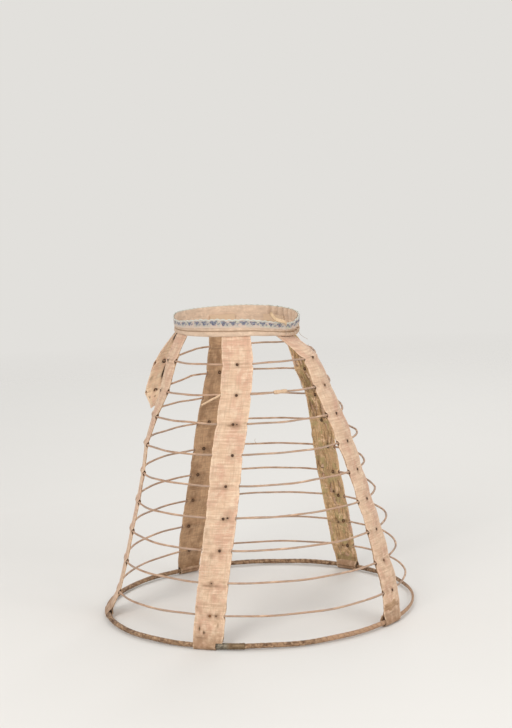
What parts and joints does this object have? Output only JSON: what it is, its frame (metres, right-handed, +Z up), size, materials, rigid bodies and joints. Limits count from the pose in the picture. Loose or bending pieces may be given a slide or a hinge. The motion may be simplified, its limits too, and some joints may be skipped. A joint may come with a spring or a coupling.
{
  "type": "crinoline cage",
  "caption": "Child's cage crinoline: spring steel hoops in cotton cover, hung on double cotton tapes from a ribbon-trimmed waistband, open at the upper front.",
  "frame": {"origin": "centre of the foot hoop, on the surface that the cage stands on", "axes": "+Z up from the foot to the waistband, -Y towards the wearer's front, +X towards the wearer's left"},
  "size_m": [0.4794, 0.4805, 0.4638],
  "materials": {
    "waist_tape": "cream cotton tape, yellowed",
    "figured_ribbon": "woven ribbon with a small blue-grey figure on cream",
    "tape_outer": "plain weave cotton, pinkish cream, soiled",
    "tape_inner": "plain weave cotton, browned and frayed",
    "hoop_cover": "braided cotton cover over spring steel, worn",
    "foot_hoop_wrap": "wrapped cotton, mottled brown",
    "binding_thread": "wound thread",
    "sleeve_steel": "tarnished",
    "rusted_studs": "rusted"
  },
  "bodies": {
    "root": {"waist_tape": "waist_tape", "waist_ribbon": "figured_ribbon", "waist_tie": "waist_tape", "front_tape_left": "tape_outer", "front_tape_right": "tape_inner", "side_tape_left": "tape_outer", "side_tape_right": "tape_inner", "back_tape_left": "tape_outer", "back_tape_right": "tape_inner", "hoop_1": "hoop_cover", "hoop_2": "hoop_cover", "hoop_3": "hoop_cover", "hoop_4": "hoop_cover", "hoop_5": "hoop_cover", "hoop_6": "hoop_cover", "hoop_7": "hoop_cover", "hoop_8": "hoop_cover", "hoop_9": "hoop_cover", "foot_hoop": "foot_hoop_wrap", "hoop_2_binding": "binding_thread", "hoop_2_broken_strand": "hoop_cover", "foot_hoop_sleeve": "sleeve_steel", "studs_front_left": "rusted_studs", "studs_front_right": "rusted_studs", "studs_side_left": "rusted_studs", "studs_side_right": "rusted_studs", "studs_back_left": "rusted_studs", "studs_back_right": "rusted_studs"}
  },
  "joints": []
}
